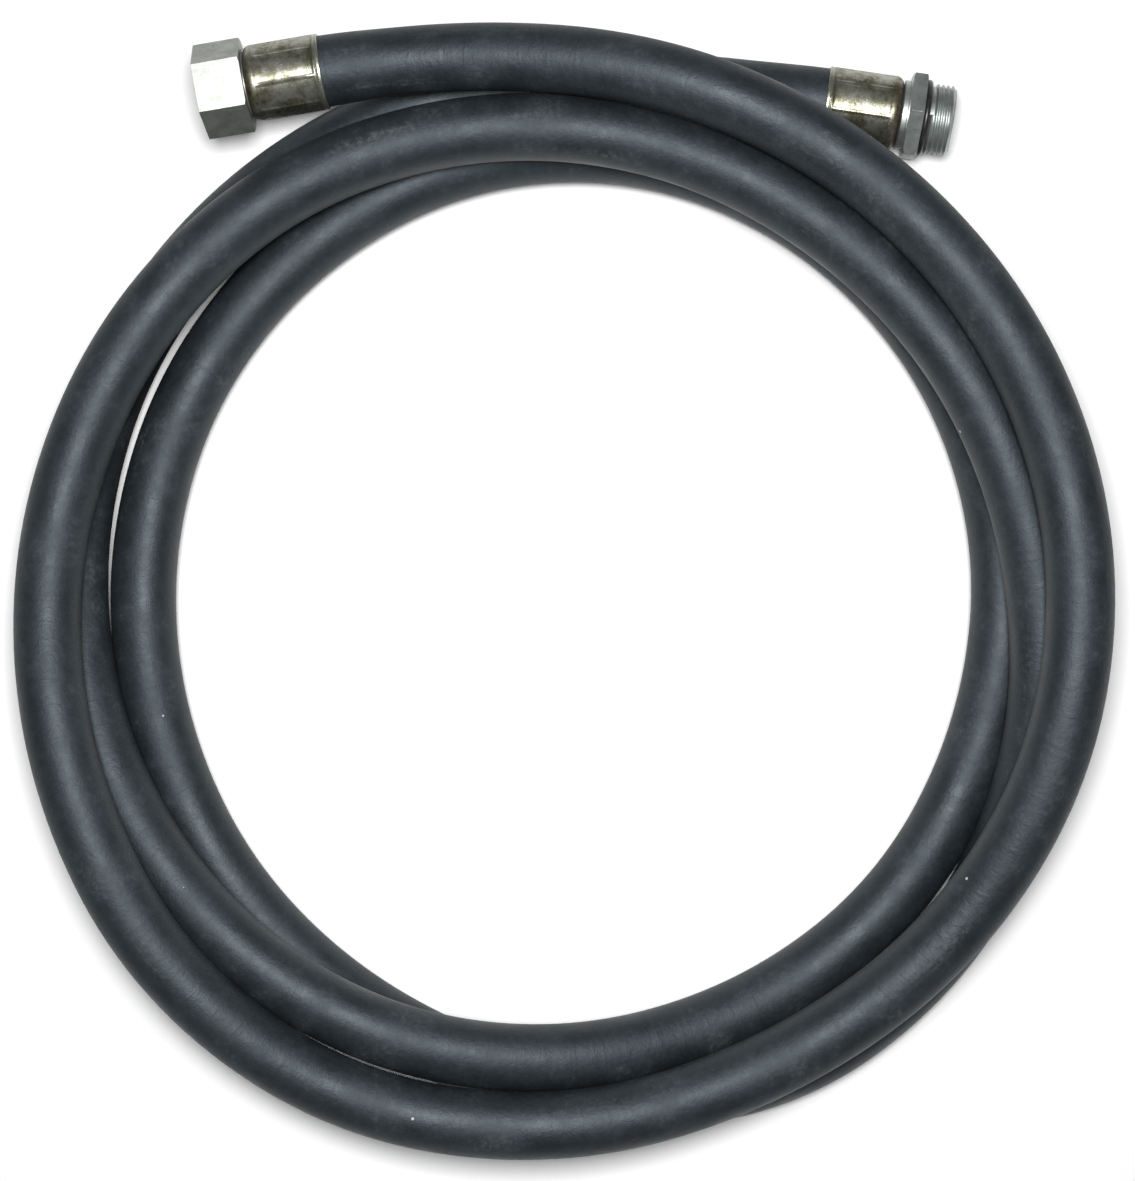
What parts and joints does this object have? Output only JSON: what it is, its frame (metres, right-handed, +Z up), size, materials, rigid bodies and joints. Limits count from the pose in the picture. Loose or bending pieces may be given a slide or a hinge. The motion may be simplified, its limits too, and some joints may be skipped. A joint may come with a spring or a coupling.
{
  "type": "hydraulic hose assembly",
  "caption": "Wire-braided rubber hydraulic hose lying in a loose flat coil, with crimped ferrules, a swivel female nut at one end and a fixed male thread at the other.",
  "frame": {"origin": "on the floor, under the centre of the coil's bounding box", "axes": "+Z up out of the flat coil, +Y towards the side where both fittings lie, +X from the swivel end towards the male end"},
  "size_m": [0.5048, 0.5277, 0.0891],
  "materials": {
    "cover_rubber": "satin, dusty",
    "liner_rubber": "matte",
    "wire_braid": "brass-tinted high tensile wire",
    "ferrule_zinc": "yellow passivated zinc",
    "plated_steel": "machined and zinc plated",
    "spring_wire": "bright drawn",
    "seal_rubber": "smooth"
  },
  "bodies": {
    "hose_assembly": {"hose_liner": "liner_rubber", "inner_wire_braid": "wire_braid", "braid_interlayer": "liner_rubber", "outer_wire_braid": "wire_braid", "hose_cover": "cover_rubber", "swivel_ferrule": "ferrule_zinc", "male_ferrule": "ferrule_zinc", "swivel_insert": "plated_steel", "male_insert": "plated_steel", "nut_thrust_wire": "spring_wire", "nose_o_ring": "seal_rubber", "face_o_ring": "seal_rubber"},
    "swivel_nut": {"swivel_nut": "plated_steel"}
  },
  "joints": [
    {"name": "nut_spin", "type": "hinge", "parent": "hose_assembly", "child": "swivel_nut", "pos_m": [-0.15608, 0.23289, 0.0463], "axis": [-0.9862, -0.1636, -0.0256], "continuous": true}
  ]
}
